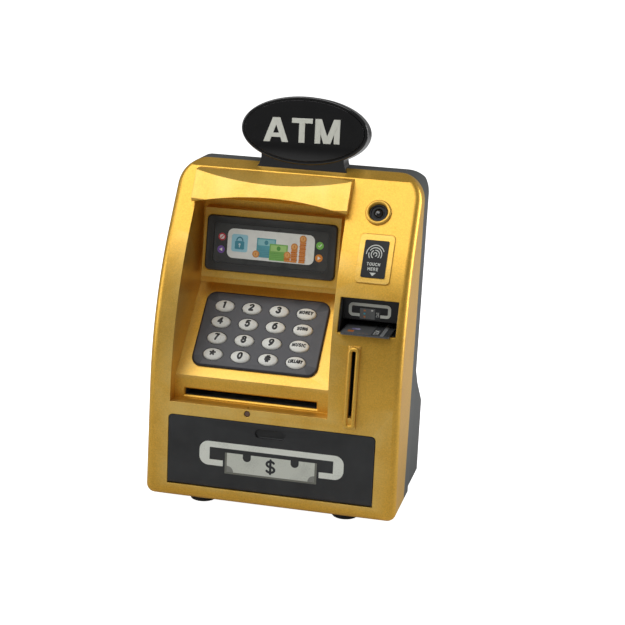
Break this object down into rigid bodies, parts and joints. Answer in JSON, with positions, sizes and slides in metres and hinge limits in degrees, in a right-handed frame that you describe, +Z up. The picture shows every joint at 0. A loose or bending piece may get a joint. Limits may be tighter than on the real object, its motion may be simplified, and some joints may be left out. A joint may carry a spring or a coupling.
{
  "type": "toy cash machine savings bank",
  "caption": "Toy cash-machine savings bank: sunk screen and keypad bay under a curved brow, note, coin and card slots, hinged money door and an oval roof sign.",
  "frame": {"origin": "centre of the bounding box's bottom face, on the floor under the feet", "axes": "+Z up, -Y out of the front with the screen and door, +X to the right seen from the front"},
  "size_m": [0.1436, 0.0914, 0.2269],
  "materials": {
    "gold_paint": "pearl metallic paint over ABS",
    "black_case": "moulded ABS, fine texture",
    "door_black": "satin black ABS",
    "sign_black": "gloss black",
    "bezel_grey": "charcoal ABS",
    "screen_print": "printed window with pictures",
    "key_white": "off-white silicone keys",
    "mat_grey": "conductive rubber mat",
    "board_green": "glass-epoxy circuit board",
    "lens_black": "polished lens",
    "label_black": "printed label",
    "card_grey": "printed card",
    "inner_plastic": "unpainted moulding",
    "gear_white": "acetal gear",
    "steel": "bright steel",
    "tyre_rubber": "soft rubber",
    "motor_can": "zinc-plated can",
    "speaker_cone": "paper cone in a steel basket",
    "led_lens": "tinted LED lens",
    "cell_jacket": "wrapped AA cell",
    "contact_nickel": "nickel-plated spring strip",
    "foot_rubber": "rubber foot"
  },
  "bodies": {
    "case": {"front_shell": "gold_paint", "bay_panel": "gold_paint", "rear_shell": "black_case", "sign_housing": "sign_black", "sign_face": "sign_black", "screen_bezel": "bezel_grey", "screen_window": "screen_print", "keypad_bezel": "bezel_grey", "keypad_mat": "mat_grey", "keypad_board": "board_green", "camera_lens": "lens_black", "touch_label": "label_black", "card_reader": "door_black", "coin_chute": "inner_plastic", "lever_pin": "steel", "note_guide": "inner_plastic", "motor": "motor_can", "motor_bracket": "steel", "main_board": "board_green", "speaker": "speaker_cone", "status_led": "led_lens", "switch_body": "inner_plastic", "solenoid": "motor_can", "battery_tray": "black_case", "batteries": "cell_jacket", "battery_contacts": "contact_nickel", "case_screws": "steel", "feet": "foot_rubber"},
    "bank_card": {"bank_card": "card_grey"},
    "note_drive": {"drive_shaft": "steel", "drive_tyres": "tyre_rubber", "roller_gear": "gear_white"},
    "press_roller": {"press_roller": "gear_white"},
    "motor_pinion": {"motor_pinion": "gear_white", "motor_shaft": "steel"},
    "door": {"door": "door_black", "hinge_pins": "steel"},
    "latch_bolt": {"latch_bolt": "steel"},
    "coin_lever": {"coin_lever": "gear_white"},
    "battery_cover": {"battery_cover": "black_case", "cover_screw": "steel"},
    "power_switch": {"power_switch": "inner_plastic"},
    "key_1": {"key_1": "key_white"},
    "key_2": {"key_2": "key_white"},
    "key_3": {"key_3": "key_white"},
    "key_4": {"key_4": "key_white"},
    "key_5": {"key_5": "key_white"},
    "key_6": {"key_6": "key_white"},
    "key_7": {"key_7": "key_white"},
    "key_8": {"key_8": "key_white"},
    "key_9": {"key_9": "key_white"},
    "key_0": {"key_0": "key_white"},
    "key_star": {"key_star": "key_white"},
    "key_hash": {"key_hash": "key_white"},
    "key_money": {"key_money": "key_white"},
    "key_song": {"key_song": "key_white"},
    "key_music": {"key_music": "key_white"},
    "key_lullaby": {"key_lullaby": "key_white"}
  },
  "joints": [
    {"name": "key_1_press", "type": "slide", "parent": "case", "child": "key_1", "axis": [0, 0.7145, -0.6997], "range_m": [0, 0.0012], "stiffness_N_per_m": 150, "springref_m": -0.0008},
    {"name": "key_2_press", "type": "slide", "parent": "case", "child": "key_2", "axis": [0, 0.7145, -0.6997], "range_m": [0, 0.0012], "stiffness_N_per_m": 150, "springref_m": -0.0008},
    {"name": "key_3_press", "type": "slide", "parent": "case", "child": "key_3", "axis": [0, 0.7145, -0.6997], "range_m": [0, 0.0012], "stiffness_N_per_m": 150, "springref_m": -0.0008},
    {"name": "key_4_press", "type": "slide", "parent": "case", "child": "key_4", "axis": [0, 0.7145, -0.6997], "range_m": [0, 0.0012], "stiffness_N_per_m": 150, "springref_m": -0.0008},
    {"name": "key_5_press", "type": "slide", "parent": "case", "child": "key_5", "axis": [0, 0.7145, -0.6997], "range_m": [0, 0.0012], "stiffness_N_per_m": 150, "springref_m": -0.0008},
    {"name": "key_6_press", "type": "slide", "parent": "case", "child": "key_6", "axis": [0, 0.7145, -0.6997], "range_m": [0, 0.0012], "stiffness_N_per_m": 150, "springref_m": -0.0008},
    {"name": "key_7_press", "type": "slide", "parent": "case", "child": "key_7", "axis": [0, 0.7145, -0.6997], "range_m": [0, 0.0012], "stiffness_N_per_m": 150, "springref_m": -0.0008},
    {"name": "key_8_press", "type": "slide", "parent": "case", "child": "key_8", "axis": [0, 0.7145, -0.6997], "range_m": [0, 0.0012], "stiffness_N_per_m": 150, "springref_m": -0.0008},
    {"name": "key_9_press", "type": "slide", "parent": "case", "child": "key_9", "axis": [0, 0.7145, -0.6997], "range_m": [0, 0.0012], "stiffness_N_per_m": 150, "springref_m": -0.0008},
    {"name": "key_0_press", "type": "slide", "parent": "case", "child": "key_0", "axis": [0, 0.7145, -0.6997], "range_m": [0, 0.0012], "stiffness_N_per_m": 150, "springref_m": -0.0008},
    {"name": "key_star_press", "type": "slide", "parent": "case", "child": "key_star", "axis": [0, 0.7145, -0.6997], "range_m": [0, 0.0012], "stiffness_N_per_m": 150, "springref_m": -0.0008},
    {"name": "key_hash_press", "type": "slide", "parent": "case", "child": "key_hash", "axis": [0, 0.7145, -0.6997], "range_m": [0, 0.0012], "stiffness_N_per_m": 150, "springref_m": -0.0008},
    {"name": "key_money_press", "type": "slide", "parent": "case", "child": "key_money", "axis": [0, 0.7145, -0.6997], "range_m": [0, 0.0012], "stiffness_N_per_m": 150, "springref_m": -0.0008},
    {"name": "key_song_press", "type": "slide", "parent": "case", "child": "key_song", "axis": [0, 0.7145, -0.6997], "range_m": [0, 0.0012], "stiffness_N_per_m": 150, "springref_m": -0.0008},
    {"name": "key_music_press", "type": "slide", "parent": "case", "child": "key_music", "axis": [0, 0.7145, -0.6997], "range_m": [0, 0.0012], "stiffness_N_per_m": 150, "springref_m": -0.0008},
    {"name": "key_lullaby_press", "type": "slide", "parent": "case", "child": "key_lullaby", "axis": [0, 0.7145, -0.6997], "range_m": [0, 0.0012], "stiffness_N_per_m": 150, "springref_m": -0.0008},
    {"name": "card_slide", "type": "slide", "parent": "case", "child": "bank_card", "axis": [0, -1, 0], "range_m": [0, 0.03]},
    {"name": "note_drive_spin", "type": "hinge", "parent": "case", "child": "note_drive", "pos_m": [0, -0.0103, 0.0567], "axis": [1, 0, 0], "continuous": true},
    {"name": "press_roller_spin", "type": "hinge", "parent": "case", "child": "press_roller", "pos_m": [0, -0.0103, 0.06735], "axis": [1, 0, 0], "continuous": true},
    {"name": "motor_pinion_spin", "type": "hinge", "parent": "case", "child": "motor_pinion", "pos_m": [0, 0.00323, 0.06162], "axis": [1, 0, 0], "continuous": true},
    {"name": "door_hinge", "type": "hinge", "parent": "case", "child": "door", "pos_m": [0, -0.0418, 0.0131], "axis": [1, 0, 0], "range_deg": [0, 90]},
    {"name": "latch_slide", "type": "slide", "parent": "case", "child": "latch_bolt", "axis": [0, 0, -1], "range_m": [0, 0.0025], "stiffness_N_per_m": 60, "springref_m": -0.002},
    {"name": "coin_lever_swing", "type": "hinge", "parent": "case", "child": "coin_lever", "pos_m": [0.0379, -0.0143, 0.084], "axis": [0, 1, 0], "range_deg": [0, 55], "stiffness_Nm_per_rad": 0.002, "springref_deg": -5.73},
    {"name": "battery_cover_lift", "type": "slide", "parent": "case", "child": "battery_cover", "axis": [0, 1, 0], "range_m": [0, 0.02]},
    {"name": "power_switch_slide", "type": "slide", "parent": "case", "child": "power_switch", "axis": [1, 0, 0], "range_m": [0, 0.004]}
  ],
  "couplings": [
    {"joint": "press_roller_spin", "follows": "note_drive_spin", "ratio": -1.4815},
    {"joint": "motor_pinion_spin", "follows": "note_drive_spin", "ratio": -2}
  ]
}
